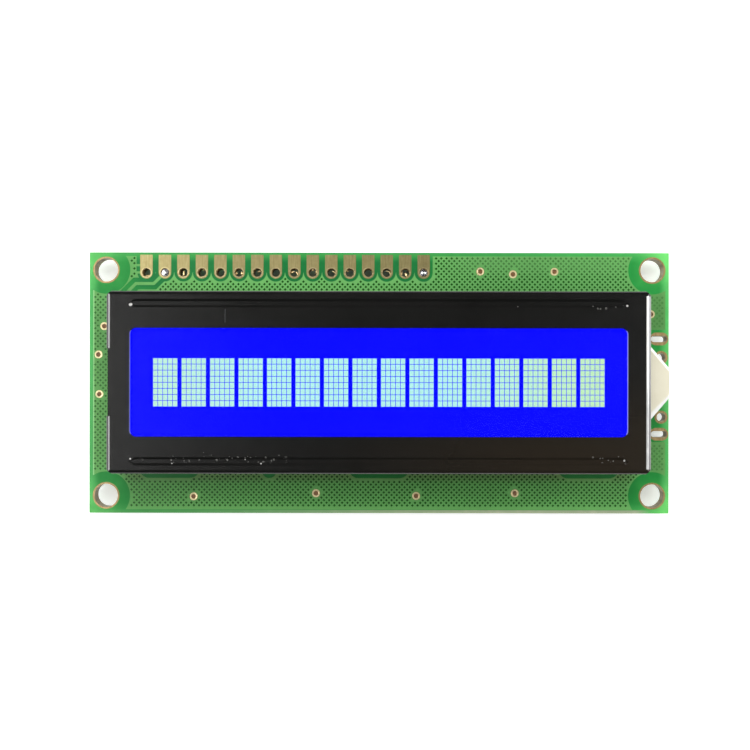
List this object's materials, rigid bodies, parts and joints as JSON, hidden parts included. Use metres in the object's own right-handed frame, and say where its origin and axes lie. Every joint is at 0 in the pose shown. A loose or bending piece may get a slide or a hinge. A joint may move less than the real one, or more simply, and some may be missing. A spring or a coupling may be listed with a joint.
{
  "type": "character lcd module",
  "caption": "One-line character display module: blue glass panel in a black folded bezel on a green circuit board with corner mounting holes and an open header row.",
  "frame": {"origin": "centre of the mounting-hole pattern on the circuit board's rear face", "axes": "+X along the display line, +Y towards the header row, +Z out of the screen"},
  "size_m": [0.0796, 0.0358, 0.0101],
  "materials": {
    "green_board": "solder mask over glass-epoxy, glossy",
    "masked_copper": "solder mask over copper, glossy",
    "gold_plate": "gold over nickel, fine brushed",
    "black_bezel": "black paint on steel, semi-gloss",
    "polarizer": "clear glossy film",
    "panel_glass": "clear polished glass",
    "electrode": "lit dots",
    "blue_cell": "deep blue liquid crystal",
    "seal_resin": "cured resin",
    "white_film": "white film",
    "clear_acrylic": "clear acrylic",
    "cream_case": "moulded, satin",
    "lamp_body": "lamp package",
    "tinned_lead": "tin",
    "solder": "solder, bright",
    "connector_rubber": "silicone rubber",
    "black_epoxy": "cast epoxy, satin",
    "resistor_body": "glazed black",
    "capacitor_body": "tan ceramic"
  },
  "bodies": {
    "root": {"circuit_board": "green_board", "ground_pour": "masked_copper", "front_tracks": "masked_copper", "rear_tracks": "masked_copper", "header_pads": "gold_plate", "mounting_hole_rings": "gold_plate", "spare_backlight_slots": "gold_plate", "spare_backlight_holes": "gold_plate", "bezel": "black_bezel", "front_polarizer": "polarizer", "front_glass": "panel_glass", "column_electrodes": "electrode", "liquid_crystal": "blue_cell", "row_electrodes": "electrode", "cell_seal": "seal_resin", "fill_port_plug": "seal_resin", "rear_glass": "panel_glass", "rear_polarizer": "polarizer", "diffuser_film": "white_film", "light_guide": "clear_acrylic", "backlight_case": "cream_case", "reflector_film": "white_film", "mounting_tape": "white_film", "backlight_led": "lamp_body", "led_leads": "tinned_lead", "led_solder": "solder", "zebra_strip_upper": "connector_rubber", "zebra_strip_lower": "connector_rubber", "controller_blob": "black_epoxy", "driver_blob": "black_epoxy", "resistor_bodies": "resistor_body", "resistor_ends": "tinned_lead", "resistor_solder": "solder", "capacitor_bodies": "capacitor_body", "capacitor_ends": "tinned_lead", "capacitor_solder": "solder"}
  },
  "joints": []
}
